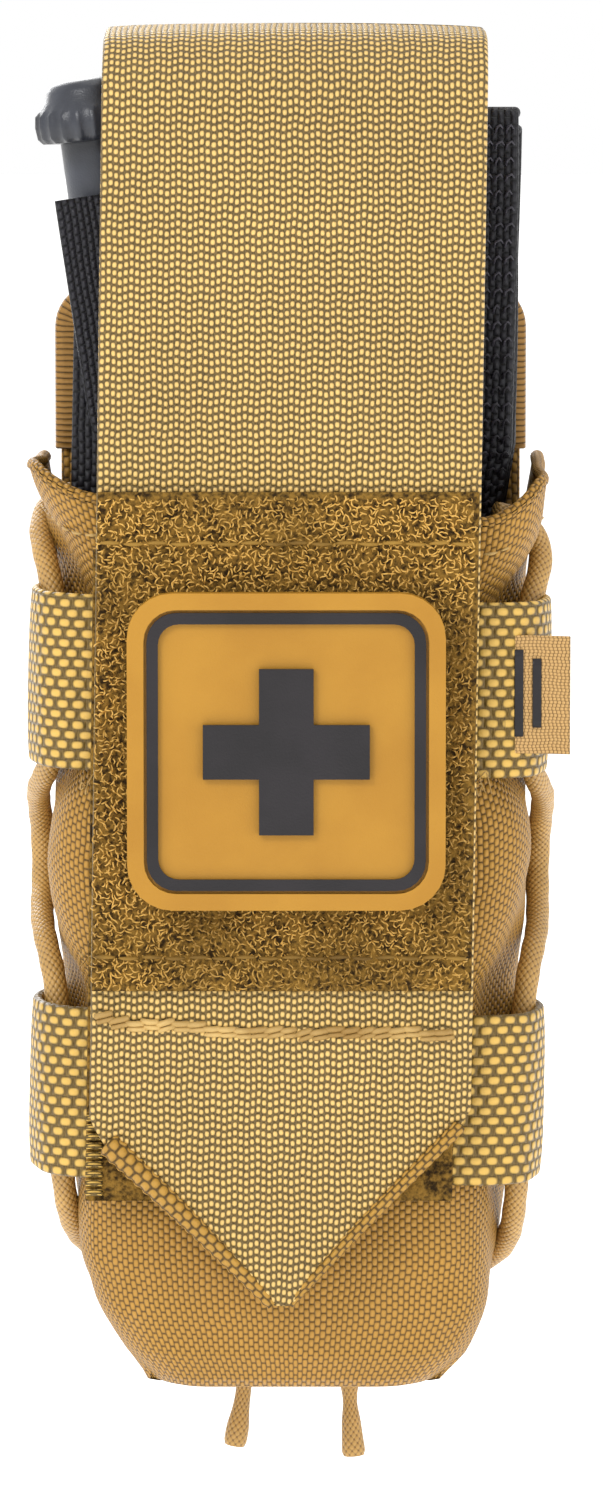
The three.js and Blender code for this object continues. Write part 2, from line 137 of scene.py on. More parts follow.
class Shader:
    """A principled material with helpers for procedural detail."""

    def __init__(self, name, roughness, specular=0.5, metallic=0.0):
        self.material = bpy.data.materials.new(name)
        self.material.use_nodes = True
        self.tree = self.material.node_tree
        self.bsdf = self.tree.nodes["Principled BSDF"]
        self.bsdf.inputs["Roughness"].default_value = roughness
        self.bsdf.inputs["Specular IOR Level"].default_value = specular
        self.bsdf.inputs["Metallic"].default_value = metallic
        self.coordinates = self.tree.nodes.new("ShaderNodeTexCoord")

    def axes(self, source="UV", scale=1.0):
        node = self.tree.nodes.new("ShaderNodeSeparateXYZ")
        self.tree.links.new(self.coordinates.outputs[source], node.inputs[0])
        return [Value(self.tree, node.outputs[i]) * scale for i in range(3)]

    def noise(self, scale, detail=2.0, stretch=(1, 1, 1)):
        """Noise from 0 to 1, with scale in features to the millimetre."""
        mapping = self.tree.nodes.new("ShaderNodeMapping")
        mapping.inputs["Scale"].default_value = [s * scale / MM for s in stretch]
        self.tree.links.new(self.coordinates.outputs["Object"], mapping.inputs[0])
        node = self.tree.nodes.new("ShaderNodeTexNoise")
        node.inputs["Scale"].default_value = 1
        node.inputs["Detail"].default_value = detail
        self.tree.links.new(mapping.outputs[0], node.inputs["Vector"])
        return Value(self.tree, node.outputs["Fac"])

    def mix(self, share, low, high):
        node = self.tree.nodes.new("ShaderNodeMix")
        node.data_type = "RGBA"
        self.tree.links.new(share.socket, node.inputs[0])
        for socket, colour in ((node.inputs[6], low), (node.inputs[7], high)):
            if isinstance(colour, Value):
                self.tree.links.new(colour.socket, socket)
            else:
                socket.default_value = (*colour, 1)
        return Value(self.tree, node.outputs[2])

    def colour(self, value):
        self.tree.links.new(value.socket, self.bsdf.inputs["Base Color"])
        return self

    def rough(self, value):
        self.tree.links.new(value.socket, self.bsdf.inputs["Roughness"])
        return self

    def bump(self, height, depth):
        """Relief from a height of 0 to 1 that is depth millimetres deep."""
        node = self.tree.nodes.new("ShaderNodeBump")
        node.inputs["Strength"].default_value = 1.0
        node.inputs["Distance"].default_value = depth * MM
        self.tree.links.new(height.socket, node.inputs["Height"])
        self.tree.links.new(node.outputs[0], self.bsdf.inputs["Normal"])
        return self


def srgb(code):
    """A linear colour from a six-digit sRGB code."""
    parts = [int(code[i : i + 2], 16) / 255 for i in (0, 2, 4)]
    return tuple(c / 12.92 if c <= 0.04045 else ((c + 0.055) / 1.055) ** 2.4 for c in parts)


def woven(name, thread, gap, cell, depth, zigzag=False, roughness=0.5, source="UV", soft=0.1, full=0.62):
    """Interlaced yarn: beads in staggered columns, or in a four-column herringbone; the gap colour between
    the beads is painted shade.
    """
    # gap is the colour between the beads: painted shade, much darker than the yarn, where the lower threads
    # lie in shadow.
    thread, gap, wear = srgb(thread), srgb(gap), 0.25
    shader = Shader(name, roughness, specular=0.3)
    if source == "UV":
        u, v, _ = shader.axes()
    else:
        x, y, z = shader.axes("Object", 1 / MM)
        u, v = x + y * 0.35, z
    u = u + (shader.noise(0.22) - 0.5) * 0.5
    v = v + (shader.noise(0.3, stretch=(1, 1, 0.7)) - 0.5) * 0.35
    column = (u / cell[0]).floor()
    if zigzag:
        shift = (column.wrap(4) - 2).abs() * -0.2
    else:
        shift = column.wrap(2) * 0.5
    across = (u / cell[0]).frac() * 2 - 1
    along = (v / cell[1] + shift).frac() * 2 - 1
    bead = (across * across * 0.8).from_one() * (along * along).from_one()
    share = bead.step(soft, full)
    light = shader.noise(0.05, 3) * wear + (1 - wear / 2)
    # The gaps between the beads, where the bump is low, take the dark gap colour: painted shade in the
    # weave's hollows.
    base = shader.mix(share, gap, thread)
    fibre = shader.noise(6, 2, stretch=(1, 1, 0.25))
    # Fibre streaks that stand higher in the bump are lightened past the thread colour: a painted sheen on the
    # fibres.
    painted_sheen = shader.mix(fibre * 0.35, base, tuple(min(c * 1.25, 1) for c in thread))
    shaded = shader.tree.nodes.new("ShaderNodeHueSaturation")
    shader.tree.links.new(painted_sheen.socket, shaded.inputs["Color"])
    shader.tree.links.new(light.socket, shaded.inputs["Value"])
    shader.colour(Value(shader.tree, shaded.outputs[0]))
    shader.bump(bead + fibre * 0.12, depth)
    return shader.material


def cordage(name, light, dark):
    """A braided sheath: fine strands that cross on two slants, with painted shade between them."""
    shader = Shader(name, 0.4, specular=0.45)
    light, dark = srgb(light), srgb(dark)
    u, v, _ = shader.axes()
    one = (u * 1.1 + v * 0.95).frac() * 2 - 1
    two = (u * 1.1 - v * 0.95).frac() * 2 - 1
    strand = (one * one).from_one() * 0.5 + (two * two).from_one() * 0.5
    share = strand.step(0.15, 0.75)
    patch = shader.noise(0.25, 3)
    # Darker between the strands, where the bump is low: painted shade; the patches mixed in are random tone.
    base = shader.mix(share * 0.55 + patch * 0.45, dark, light)
    return shader.colour(base).bump(strand, 0.16).material


def pile(name, light, dark):
    """The brushed ground that loops stand on, with painted shade in its hollows."""
    shader = Shader(name, 0.9, specular=0.15)
    curl = shader.noise(1.5, 4)
    clump = shader.noise(0.35, 3)
    # Darker where the curl noise, which also makes the bump, is low: painted shade in the hollows; the clumps
    # are random tone.
    share = (curl * 0.65 + clump * 0.35).step(0.36, 0.62)
    return shader.colour(shader.mix(share, srgb(dark), srgb(light))).bump(curl, 0.5).material


def moulded(name, light, dark, roughness, grain=0.05, specular=0.5):
    """Moulded rubber or plastic with a faint grain and uneven handling marks."""
    shader = Shader(name, roughness, specular)
    marks = shader.noise(0.09, 4)
    shader.colour(shader.mix(marks.step(0.3, 0.7), srgb(dark), srgb(light)))
    shader.rough(shader.noise(0.5, 3) * 0.16 + (roughness - 0.08))
    return shader.bump(shader.noise(4, 2), grain).material


def metal(name, code):
    """Blackened metal, rubbed bright in places."""
    colour = srgb(code)
    shader = Shader(name, 0.35, metallic=0.9)
    worn = shader.noise(0.6, 4).step(0.55, 0.8)
    shader.colour(shader.mix(worn, colour, tuple(min(c * 3, 1) for c in colour)))
    shader.rough(shader.noise(1.2, 3) * 0.25 + 0.22)
    return shader.bump(shader.noise(3, 2), 0.02).material


# The second colour of each woven finish is painted shade in the gaps between its beads.
webbing_flap = woven("webbing_flap", "DCB76E", "191005", (0.76, 1.06), 0.4, True, 0.45, soft=0.36, full=0.8)
webbing_band = woven(
    "webbing_band", "CFA854", "140C04", (1.35, 2.15), 0.45, False, 0.42, soft=0.35, full=0.78
)
webbing_roll = woven("webbing_roll", "B08538", "1E1408", (1.5, 1.5), 0.35, False, 0.5, soft=0.15)
webbing_strap = woven("webbing_strap", "C29C52", "2C1F0F", (0.95, 1.6), 0.3, False, 0.5)
cordura = woven("cordura", "B4863A", "241706", (0.8, 1.45), 0.3, False, 0.5, soft=0.0, full=0.66)
tape_ribs = woven("tape_ribs", "946D34", "30210D", (6.0, 0.8), 0.25, False, 0.6)
label_cloth = woven("label_cloth", "BD965E", "664C26", (0.42, 0.55), 0.08, True, 0.5)
black_woven = woven("black_woven", "232228", "010101", (0.85, 1.2), 0.35, False, 0.4, soft=0.15)
black_band = woven("black_band", "1F1E23", "020202", (0.9, 1.5), 0.3, False, 0.5, soft=0.1)
black_ribbon = woven("black_ribbon", "26252B", "030304", (0.9, 1.4), 0.25, False, 0.45, source="Object")
tape_white = woven("tape_white", "B9B8B4", "66645F", (0.7, 0.9), 0.1, False, 0.6, source="Object")
# The sheath's dark colour is painted shade between the strands, mixed with random patches.
cord_sheath = cordage("cord_sheath", "CFA35A", "5C4020")
cord_fibre = moulded("cord_fibre", "CDAC6C", "927038", 0.5, specular=0.3)
seam_fibre = moulded("seam_fibre", "9A7632", "5E451A", 0.6, specular=0.2)
# The ground's dark colour is painted shade in the pile's hollows, mixed with random clumps.
loop_ground = pile("loop_ground", "8A682C", "2C1F0D")
loop_thread = moulded("loop_thread", "D3A551", "94702F", 0.5, 0.02, specular=0.3)
hook_black = moulded("hook_black", "4A474F", "1E1C21", 0.4, 0.02, specular=0.3)
rubber_tan = moulded("rubber_tan", "AC7C26", "A47421", 0.42, 0.035, specular=0.3)
rubber_black = moulded("rubber_black", "211D20", "171416", 0.36, 0.035, specular=0.35)
plastic_black = moulded("plastic_black", "383B44", "17181D", 0.34, 0.04)
plastic_sheet = moulded("plastic_sheet", "2E261B", "1C1711", 0.6, 0.04, specular=0.3)
snap_finish = metal("snap_finish", "3C3834")


# ---- meshes
def make(name, points, faces, material, uv=None):
    """A mesh piece from points in millimetres, with heights from the pouch's bottom."""
    mesh = bpy.data.meshes.new(name)
    mesh.from_pydata(to_frame(points).tolist(), [], [list(map(int, f)) for f in faces])
    if uv is not None:
        corner = np.zeros(len(mesh.loops), np.int32)
        mesh.loops.foreach_get("vertex_index", corner)
        layer = mesh.uv_layers.new(name="cloth")
        layer.data.foreach_set("uv", np.asarray(uv, float)[corner].astype(np.float32).ravel())
    mesh.polygons.foreach_set("use_smooth", [True] * len(mesh.polygons))
    mesh.materials.append(material)
    mesh.update()
    piece = bpy.data.objects.new(name, mesh)
    bpy.context.scene.collection.objects.link(piece)
    return piece


def placed(piece, body, slot, *nodes):
    """Rides the piece on a body and lets it stand for CAD nodes, which it hides; slot is not used."""
    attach(piece, body)
    if nodes:
        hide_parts(*nodes)
    return piece


def ring_faces(rings, count, closed=True):
    """Quads between rings of points, each ring count points long."""
    faces = []
    last = count if closed else count - 1
    for r in range(rings - 1):
        for i in range(last):
            a, b = r * count + i, r * count + (i + 1) % count
            faces.append((a, b, b + count, a + count))
    return faces


def swept(rings, uv):
    """Points, faces and UVs of a closed tube through rings of points."""
    rings = np.asarray(rings, float)
    uv = np.asarray(uv, float)
    count = rings.shape[1]
    faces = ring_faces(len(rings), count)
    points = rings.reshape(-1, 3)
    uvs = uv.reshape(-1, 2)
    for ring, flip in ((0, True), (len(rings) - 1, False)):
        centre = len(points)
        points = np.vstack([points, rings[ring].mean(0)])
        uvs = np.vstack([uvs, uv[ring].mean(0)])
        for i in range(count):
            a, b = ring * count + i, ring * count + (i + 1) % count
            faces.append((b, a, centre) if flip else (a, b, centre))
    return points, faces, uvs


def lengths(path):
    """How far along a path each of its points is."""
    steps = np.linalg.norm(np.diff(np.asarray(path, float), axis=0), axis=1)
    return np.concatenate([[0], np.cumsum(steps)])


def resample(path, step):
    """The path again, with points about step apart."""
    path = np.asarray(path, float)
    along = lengths(path)
    at = np.linspace(0, along[-1], max(2, int(round(along[-1] / step)) + 1))
    return np.stack([np.interp(at, along, path[:, k]) for k in range(path.shape[1])], 1)


def smooth_path(points, step=0.8):
    """A Catmull-Rom curve through points, with points about step apart."""
    p = np.asarray(points, float)
    p = np.vstack([2 * p[0] - p[1], p, 2 * p[-1] - p[-2]])
    out = []
    for i in range(1, len(p) - 2):
        t = np.linspace(0, 1, 12, endpoint=False)[:, None]
        a, b, c, d = p[i - 1], p[i], p[i + 1], p[i + 2]
        out.append(
            0.5 * (2 * b + (c - a) * t + (2 * a - 5 * b + 4 * c - d) * t**2 + (3 * b - a - 3 * c + d) * t**3)
        )
    return resample(np.vstack([*out, p[-2:-1]]), step)


def tangents(path):
    t = np.gradient(np.asarray(path, float), axis=0)
    return t / np.linalg.norm(t, axis=1, keepdims=True)


def strip(path, side, width, thickness, step=0.9, across=20, crown=None, edge=0.5):
    """A flat strap along a path, with rounded selvages. side is the width's direction at every point.
    crown(u, v) lifts the face: u is across, from -1 to 1, and v is how far along, in millimetres."""
    path = np.asarray(path, float)
    if np.ndim(width):
        path = np.column_stack([path, width])
    path = resample(path, step)
    if np.ndim(width):
        path, width = path[:, :3], path[:, 3]
    along = lengths(path)
    t = tangents(path)
    side = np.asarray(side, float)
    side = np.broadcast_to(side, path.shape) if side.ndim == 1 else side
    n = np.cross(side, t)
    n /= np.linalg.norm(n, axis=1, keepdims=True)
    half = np.broadcast_to(np.asarray(width, float) / 2, len(path))
    round_off = np.linspace(math.pi / 2, -math.pi / 2, 7)[1:-1]
    rings, uvs = [], []
    for k in range(len(path)):
        r = thickness / 2
        flat = np.linspace(-1, 1, across) * (half[k] - r * edge)
        lift = np.array([crown(x / half[k], along[k]) if crown else 0.0 for x in flat])
        end = half[k] - r * edge
        top = np.stack([flat, r + lift], 1)
        right = np.stack([end + r * edge * np.cos(round_off), r * np.sin(round_off) + lift[-1]], 1)
        bottom = np.stack([flat[::-1], -r + lift[::-1]], 1)
        left = np.stack([-end - r * edge * np.cos(round_off), -r * np.sin(round_off) + lift[0]], 1)
        section = np.vstack([top, right, bottom, left])
        rings.append(path[k] + section[:, :1] * side[k] + section[:, 1:] * n[k])
        u = section[:, 0] + half[0]
        uvs.append(np.stack([u, np.full(len(u), along[k])], 1))
    return swept(rings, uvs)


def tube(path, radius, sides=12):
    """A round tube along a path; radius may change along it. UVs are round and along, in millimetres."""
    path = np.asarray(path, float)
    t = tangents(path)
    radius = np.broadcast_to(np.asarray(radius, float), len(path))
    normal = np.cross(t[0], (0.3, 0.9, 0.2))
    normals = []
    for k in range(len(path)):
        normal = normal - t[k] * np.dot(normal, t[k])
        normal /= np.linalg.norm(normal)
        normals.append(normal)
    n = np.array(normals)
    b = np.cross(t, n)
    angle = np.linspace(0, 2 * math.pi, sides, endpoint=False)
    along = lengths(path)
    rings = [
        path[k] + radius[k] * (np.cos(angle)[:, None] * n[k] + np.sin(angle)[:, None] * b[k])
        for k in range(len(path))
    ]
    uvs = [np.stack([np.abs(angle - math.pi) * 1.6, np.full(sides, along[k])], 1) for k in range(len(path))]
    return swept(rings, uvs)


def together(parts):
    """Several sets of points, faces and UVs as one."""
    points, faces, uvs, base = [], [], [], 0
    for p, f, u in parts:
        points.append(p)
        faces += [tuple(base + i for i in face) for face in f]
        uvs.append(u)
        base += len(p)
    return np.vstack(points), faces, np.vstack(uvs)


def lathe(profile, origin, axis, sides=48, shape=None):
    """A turned solid: profile is (radius, distance along the axis) from one end to the other."""
    axis = np.asarray(axis, float) / np.linalg.norm(axis)
    a = np.cross(axis, (0.0, 0.31, 0.95))
    a /= np.linalg.norm(a)
    b = np.cross(axis, a)
    angle = np.linspace(0, 2 * math.pi, sides, endpoint=False)
    rings, uvs = [], []
    for i, (radius, along) in enumerate(profile):
        r = np.full(sides, radius, float) if shape is None else shape(radius, along, angle)
        rings.append(
            np.asarray(origin, float)
            + along * axis
            + r[:, None] * (np.cos(angle)[:, None] * a + np.sin(angle)[:, None] * b)
        )
        uvs.append(np.stack([angle * radius, np.full(sides, along)], 1))
    return swept(rings, uvs)


def stitches(path, length, gap, radius, normal, lift):
    """A row of sewn stitches that lie along a path and bow out of it by lift."""
    pitch, kept = 8, 7  # points to a stitch and its gap, and points in the stitch
    path = resample(path, (length + gap) / pitch)
    stretch = length / (length + gap) * pitch / (kept - 1)
    bow = np.sin(np.linspace(0, math.pi, kept))[:, None]
    out = np.asarray(normal, float) * (bow * lift)
    parts = []
    for k in range(0, len(path) - kept, pitch):
        line = path[k : k + kept]
        centre = line.mean(0)
        parts.append(tube(centre + (line - centre) * stretch + out, radius * (0.45 + 0.55 * bow[:, 0]), 6))
    return together(parts)


def bevelled(node, width, material, segments=3):
    """Rounds a kept CAD node's edges and gives it its finish."""
    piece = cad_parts[node]
    for held in piece.material_slots:
        held.material = material
    if width:
        modifier = piece.modifiers.new("round", "BEVEL")
        modifier.width = width * MM
        modifier.segments = segments
        modifier.limit_method = "ANGLE"
        modifier.angle_limit = math.radians(35)
    return piece


# ---- how the pouch leans
def lean(h):
    """The flap hangs a little to the left as it comes down."""
    return 0.7 + (np.asarray(h, float) - 181) * 0.0145


# ---- shock cord lacing
CORD_RADIUS = 1.6
CORD_LEFT = [
    (-26.5, -10, 116.5), (-31.5, -13, 117), (-34, -20, 113), (-32.6, -28, 108), (-31.4, -31, 102),
    (-31.4, -31, 93), (-31.4, -31, 86), (-32.6, -27.5, 80.5), (-34.3, -21, 77.5), (-34.3, -14, 74.2),
    (-33.9, -9.6, 68), (-33.9, -14, 61.8), (-33.8, -21, 58.6), (-32.6, -27.5, 55.5), (-31.4, -31, 50),
    (-31.4, -31, 39), (-31, -31, 28), (-30.2, -28, 20.5), (-28.8, -20, 15.5), (-25.5, -14, 12),
    (-19, -13, 8), (-11, -15, 5.5), (-6.6, -17, 2), (-6, -17.5, -3), (-6.8, -17.5, -9), (-7.7, -17.5, -14),
]
CORD_RIGHT = [
    (27.5, -26.5, 115), (31, -25.5, 114.6), (34.4, -23.5, 110.5), (33, -28, 105.5), (31.4, -31, 100),
    (31.4, -31, 92), (31.4, -31, 85), (32.8, -27.5, 79.6), (34.4, -21, 76.6), (34.3, -14, 73.2),
    (33.9, -9.6, 67.2), (33.8, -14, 61), (33.6, -21, 57.6), (32.4, -27.5, 54.5), (31.4, -31, 48),
    (31.2, -31, 38), (30.8, -31, 28), (30.4, -28, 20.5), (29.4, -21, 14.5), (26, -15, 11),
    (19, -13, 8), (12, -15, 5.5), (8.6, -17, 2), (8, -17.5, -3), (8.2, -17.5, -9.5), (8.7, -17.5, -15.4),
]


def relaxed(path, passes):
    """The path with its bends opened by a moving average; the ends stay."""
    for _ in range(passes):
        path[1:-1] = path[1:-1] * 0.5 + (path[:-2] + path[2:]) * 0.25
    return path


def build(name, parts, material):
    points, faces, uv = parts
    return make(name, points, faces, material, uv)


def add(name, parts, material, body, slot, *nodes):
    """Builds a piece and puts it on its body; slot is not used."""
    return placed(build(name, parts, material), body, slot, *nodes)


def shock_cord(name, node, route):
    """A braided elastic cord that is pulled thin at its tail and flares where it was cut."""
    path = relaxed(smooth_path(route, 0.6), 60)
    left = lengths(path)[-1] - lengths(path)
    pinch = 0.35 * np.exp(-(((left - 7.5) / 3.5) ** 2))
    radius = CORD_RADIUS * (1 - pinch) + 0.04 * np.sin(lengths(path) * 1.3)
    radius[left < 0.5] *= 0.88
    piece = build(name, tube(path, radius, 16), cord_sheath)
    placed(piece, "pouch", "coyote_cord", node)
    to_frame(path[:1])[0]
    float(lengths(path)[-1] * MM)
    to_frame(path).tolist()
    return piece


shock_cord("shock_lacing_left", "shock_cord_left", CORD_LEFT)
shock_cord("shock_lacing_right", "shock_cord_right", CORD_RIGHT)


# ---- pouch body
# By height: the half widths of the front corners and of the rear edge, and where the front is.
LEFT_CORNER = [
    (0, 18.2), (1, 19.2), (4, 22), (9, 25.3), (15, 27.6), (21, 28.2), (28, 27.6), (48, 27), (53, 27.6),
    (57, 29.8), (62, 31.4), (69, 32.2), (75, 31.4), (79, 29.6), (83, 27.4), (90, 26.8), (104, 26.6),
    (108, 28.1), (112, 29.9), (115, 31.6), (118, 33.3), (122, 34.6), (126, 35),
]
RIGHT_CORNER = [
    (0, 18.6), (1, 21.2), (4, 23.8), (9, 26), (15, 26.6), (21, 26.7), (28, 26.4), (48, 25.4), (52, 25.6),
    (56, 28), (62, 30.4), (69, 31.7), (75, 31.6), (79, 29.4), (83, 26.8), (90, 26.6), (104, 27),
    (108, 30.4), (111, 32.2), (114, 33.2), (118, 33.6), (122, 34.2), (126, 34.4),
]
REAR = [
    (0, 19.5), (3, 22.8), (8, 26), (15, 28.2), (25, 29.5), (51, 30.5), (60, 32), (69, 32.3), (77, 32),
    (82, 31.8), (106, 31.8), (113, 33), (121, 34.4), (126, 34.8),
]
FRONT = [(0, -34.5), (1, -36.2), (4, -38.6), (9, -40.2), (15, -41), (126, -41)]


def level(table, h, column=1):
    """A table's value at a height, from straight lines between its rows."""
    return np.interp(h, [row[0] for row in table], [row[column] for row in table])


def soft_level(table, h):
    """A table's value, with its corners rounded."""
    return sum(level(table, h + d) for d in (-1.6, -0.8, 0, 0.8, 1.6)) / 5


def half_ring(h, table, inset, count):
    """From the rear edge to the middle of the front, on the +X side, as x and y."""
    rear = soft_level(REAR, h) - inset
    corner = soft_level(table, h) - inset
    front = level(FRONT, h) + inset
    crease = min(8.6, corner * 0.35)
    knots = [
        (rear, -4.1), (rear, -9), (rear, -14), (rear - 0.2, -22), (corner + 0.6, -29.5),
        (corner - 0.2, front + 6), (corner - 2.6, front + 2), (corner - crease, front), (0, front),
    ]
    line = smooth_path([(x, y, 0) for x, y in knots], 0.5)[:, :2]
    line[:, 1] = np.maximum(line[:, 1], front)
    return resample(line, lengths(line)[-1] / (count - 1))[:count]


SAG = 2.6  # how far the cloth hangs below the sewn bottom
HALF = 44  # points from the rear edge to the middle of the front
RIM_FRONT = {"left": 118.2, "right": 115.0}
RIM_EAR = {"left": 122.4, "right": 120.2}
RIM_REAR = 121.6


def rim_height(i, side):
    """How high the mouth's edge is, i points from the rear edge."""
    t = i / (HALF - 1)
    ear_at, front_at = 0.42, 0.62  # shares of the way from the rear edge to the middle of the front
    ear, front = RIM_EAR[side], RIM_FRONT[side]
    if t < ear_at:
        return RIM_REAR + (ear - RIM_REAR) * (t / ear_at)
    if t < front_at:
        s = (t - ear_at) / 0.2
        return ear + (front - ear) * s * s * (3 - 2 * s)
    middle = (RIM_FRONT["left"] + RIM_FRONT["right"]) / 2
    return front + (middle - front) * (t - front_at) / 0.38


def shell_surface(inset, rows):
    """Rings of the pouch's wall from the bottom up, open at the rear, each 2 * HALF - 1 points."""
    grid = np.zeros((rows, 2 * HALF - 1, 3))
    for r in range(rows):
        v = r / (rows - 1)
        for side, table, sign in (("left", LEFT_CORNER, -1), ("right", RIGHT_CORNER, 1)):
            heights = np.array([rim_height(i, side) for i in range(HALF)]) * v
            heights = np.maximum(heights, inset)
            sag = SAG * np.clip(1 - v / 0.16, 0, 1) ** 1.3
            cache = {}
            for i, h in enumerate(heights):
                key = round(float(h), 1)
                if key not in cache:
                    cache[key] = half_ring(key, table, inset, HALF)
                x, y = cache[key][min(i, len(cache[key]) - 1)]
                at = i if side == "left" else 2 * HALF - 2 - i
                grid[r, at] = (sign * x, y, h - sag)
    return grid


def creased(grid):
    """Adds the slack of soft cloth: folds under the bands and darts at the bottom corners."""
    x, y, h = grid[..., 0], grid[..., 1], grid[..., 2]
    facing = np.clip((-y - 30) / 10, 0, 1)
    for foot, top in (((-22.4, 3.0), (-18.4, 26.0)), ((22.6, 3.0), (17.2, 25.0))):
        t = np.clip((h - foot[1]) / (top[1] - foot[1]), 0, 1)
        across = x - (foot[0] + (top[0] - foot[0]) * t)
        dart = np.exp(-((across / 1.1) ** 2)) * np.exp(-(((h - 13) / 11) ** 2))
        grid[..., 1] += 0.55 * dart * facing
        swell = np.exp(-(((np.abs(x) - 24) / 3.5) ** 2)) * np.exp(-(((h - 15) / 9) ** 2))
        grid[..., 1] += 0.4 * swell * facing
    ripple = np.sin(h * 0.42 + x * 0.19) * 0.22 + np.sin(h * 0.21 - x * 0.33 + 1.3) * 0.25
    loose = np.clip(np.exp(-(((h - 69) / 9) ** 2)) + np.exp(-(((h - 12) / 9) ** 2)), 0, 1)
    grid[..., 0] += np.sign(x) * np.abs(ripple) * loose * 0.55
    return grid


def pouch_body():
    """The cloth shell: outer wall, rolled rim and inner wall as one skin, closed across the bottom."""
    rows, middle, roll_radius = 110, -20, 0.95
    outer = creased(shell_surface(0.0, rows))
    inner = shell_surface(1.2, rows)
    count = outer.shape[1]
    rim = outer[-1] * 0.5 + inner[-1] * 0.5
    out = outer[-1] - inner[-1]
    out[:, 2] = 0
    out /= np.linalg.norm(out, axis=1, keepdims=True)
    roll = []
    for angle in np.linspace(-20, 200, 9):
        a = math.radians(angle)
        roll.append(rim + out * roll_radius * math.cos(a) + np.array((0, 0, roll_radius * math.sin(a) - 0.5)))

    def shrunk(edge, shares, height):
        """Rings that close the bottom inside an edge, from the middle out."""
        rings = []
        for share in shares:
            ring = edge * 1.0
            ring[:, 0] *= share
            ring[:, 1] = middle + (ring[:, 1] - middle) * max(share, 0.05)
            ring[:, 2] = height - SAG
            rings.append(ring)
        return rings

    bottom = shrunk(inner[0], (0.0, 0.3, 0.6), 1.2)
    under = shrunk(outer[0], (0.0, 0.35, 0.7, 0.93), -0.35)
    rings = np.array(under + list(outer) + roll + list(inner[::-1]) + bottom[::-1])
    spread = lengths(outer[60])
    along = np.concatenate([[0], np.cumsum(np.abs(np.diff(rings[:, HALF, 2])) + 0.25)])
    uv = np.stack(np.broadcast_arrays(spread[None, :], along[:, None]), -1)
    points = rings.reshape(-1, 3)
    faces = ring_faces(len(rings), count, closed=False)
    # The rear edges of the inner and outer walls are joined, so the wall has an even thickness.
    start = len(under)
    total = len(rings)
    for end in (0, count - 1):
        for r in range(start, start + rows - 1):
            mirror = total - 1 - len(bottom) - (r - start)
            a, b = r * count + end, (r + 1) * count + end
            c, d = (mirror - 1) * count + end, mirror * count + end
            faces.append((a, b, c, d) if end else (d, c, b, a))
    piece = make("pouch_body", points, faces, cordura, uv.reshape(-1, 2))
    return placed(piece, "pouch", "coyote_cordura", "pouch_shell")


pouch_body()


# ---- the two elastic bands round the pouch
def band_route(left, right, rear_left, rear_right, front):
    """Round the pouch at half height, from the rear right edge to the rear left one."""
    knots = [
        (rear_right, -0.9), (rear_right, -8), (rear_right + 0.3, -18), (right + 0.3, -28), (right, -34),
        (right - 1.6, -39.5), (right - 5.6, front + 0.7), (right - 12, front), (0, front),
        (-(left - 12), front), (-(left - 5.6), front + 0.7), (-(left - 1.6), -39.5), (-left, -34),
        (-left - 0.3, -28), (-rear_left - 0.3, -18), (-rear_left, -8), (-rear_left, -0.9),
    ]
    return smooth_path([(x, y, 0) for x, y in knots], 0.8)


def elastic_band(name, node, low, high, tilt, left, right, rear_left, rear_right):
    """One band: 1 in webbing sewn round the pouch, with a tunnel for the cord at each front corner."""
    path = band_route(left, right, rear_left, rear_right, -43.1)
    path[:, 2] = (low + high) / 2 - tilt * path[:, 0]
    wide = high - low
    side = np.array((tilt, 0.0, 1.0)) / math.hypot(1, tilt)

    def crown(across, along):
        x = np.interp(along, lengths(path), path[:, 0])
        y = np.interp(along, lengths(path), path[:, 1])
        tunnel = math.exp(-(((abs(x) - 32) / 3.2) ** 2)) * math.exp(-(((y + 31) / 7) ** 2))
        belly = 1 - 0.55 * across**4
        wave = 0.12 * math.sin(along * 0.23 + across * 1.1) + 0.08 * math.sin(along * 0.61 - across * 2)
        return 0.75 * tunnel * belly + wave * 0.6

    band = build(name, strip(path, side, wide, 1.25, 0.85, 22, crown, 0.8), webbing_band)
    return placed(band, "pouch", "coyote_webbing", node)


elastic_band("upper_elastic_band", "band_upper", 81.4, 104.9, 0.021, 33.6, 33.4, 31.6, 31.6)
elastic_band("lower_elastic_band", "band_lower", 26.6, 49.6, 0.02, 33.6, 32.6, 31.2, 31.2)


# ---- front loop field behind the flap
def loop_field():
    path = [(lean(h) - 1.3, -43.7, h) for h in np.linspace(24.3, 111.5, 120)]

    def crown(across, along):
        return -0.25 * abs(across) ** 6 + 0.1 * math.sin(along * 0.5 + across * 3)

    field = strip(path, (-1, 0, 0), 49, 1.0, 1.0, 40, crown)
    add("front_loop_field_pile", field, loop_ground, "pouch", "coyote_loop", "front_loop_field")
    ribs = []
    for h in np.arange(25.4, 36, 1.25):
        line = [(lean(h) - 25.6, -44.35, h), (lean(h) - 24.7, -44.75, h + 0.12), (lean(h) - 23.7, -44.35, h)]
        ribs.append(tube(smooth_path(line, 0.25), 0.52, 8))
    add("front_loop_field_selvage", together(ribs), webbing_band, "pouch", "coyote_webbing")


loop_field()


# ---- flap
def flap_curve():
    """The middle of the flap's webbing, up its rear, over the top and down to its folded end."""
    rear = [(1.95, 118.3), (1.95, 124), (1.95, 132), (1.95, 140), (1.95, 148), (1.9, 156), (1.6, 164)]
    over = [
        (0.6, 170), (-3.2, 175.3), (-9.5, 178.5), (-17, 179.4), (-25, 179.5), (-33, 179.3), (-40.4, 178.2),
        (-45.2, 174),
    ]
    front = [
        (-46.3, 168), (-46.6, 160), (-46.6, 150), (-46.7, 138), (-46.7, 122), (-46.6, 100), (-46.6, 80),
        (-46.6, 60), (-46.7, 50), (-46.8, 42), (-46.9, 36), (-47.2, 28), (-47.4, 18), (-47.4, 10.8),
    ]
    return smooth_path([(0, y, h) for y, h in rear + over + front], 0.9)


